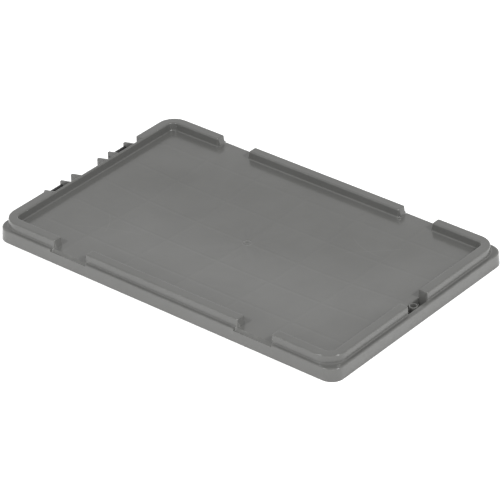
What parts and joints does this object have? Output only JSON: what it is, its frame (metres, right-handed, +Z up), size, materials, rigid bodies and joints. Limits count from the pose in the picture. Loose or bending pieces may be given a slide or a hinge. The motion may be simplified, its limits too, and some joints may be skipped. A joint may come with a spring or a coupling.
{
  "type": "hinged stacking lid for storage tote",
  "caption": "Hinged stacking lid for a straight-wall storage tote: ribbed panel with a raised hollow rim, a deep skirt, a sunk seal eyelet and pivoting hinge clips.",
  "frame": {"origin": "Middle of the overall footprint (hinge ears to seal-end skirt), at the bottom edge of the skirt.", "axes": "+X points from the hinge end to the seal end, along the longest side; +Y across the lid; +Z up, out of the panel, along the shortest side."},
  "size_m": [0.6096, 0.381, 0.0328],
  "materials": {
    "lid_plastic": "mid-grey injection-moulded polypropylene, satin, with faint sink lines over the ribs and fine handling scuffs",
    "clip_plastic": "black moulded nylon, semi-gloss"
  },
  "bodies": {
    "lid": {"lid_shell": "lid_plastic"},
    "clip_near": {"hinge_clip_near": "clip_plastic"},
    "clip_far": {"hinge_clip_far": "clip_plastic"}
  },
  "joints": [
    {"name": "near_clip_pivot", "type": "hinge", "parent": "lid", "child": "clip_near", "pos_m": [-0.3014, -0.0684, 0.0204], "axis": [0, 1, 0], "range_deg": [-10, 200]},
    {"name": "far_clip_pivot", "type": "hinge", "parent": "lid", "child": "clip_far", "pos_m": [-0.3014, 0.0684, 0.0204], "axis": [0, 1, 0], "range_deg": [-10, 200]}
  ]
}
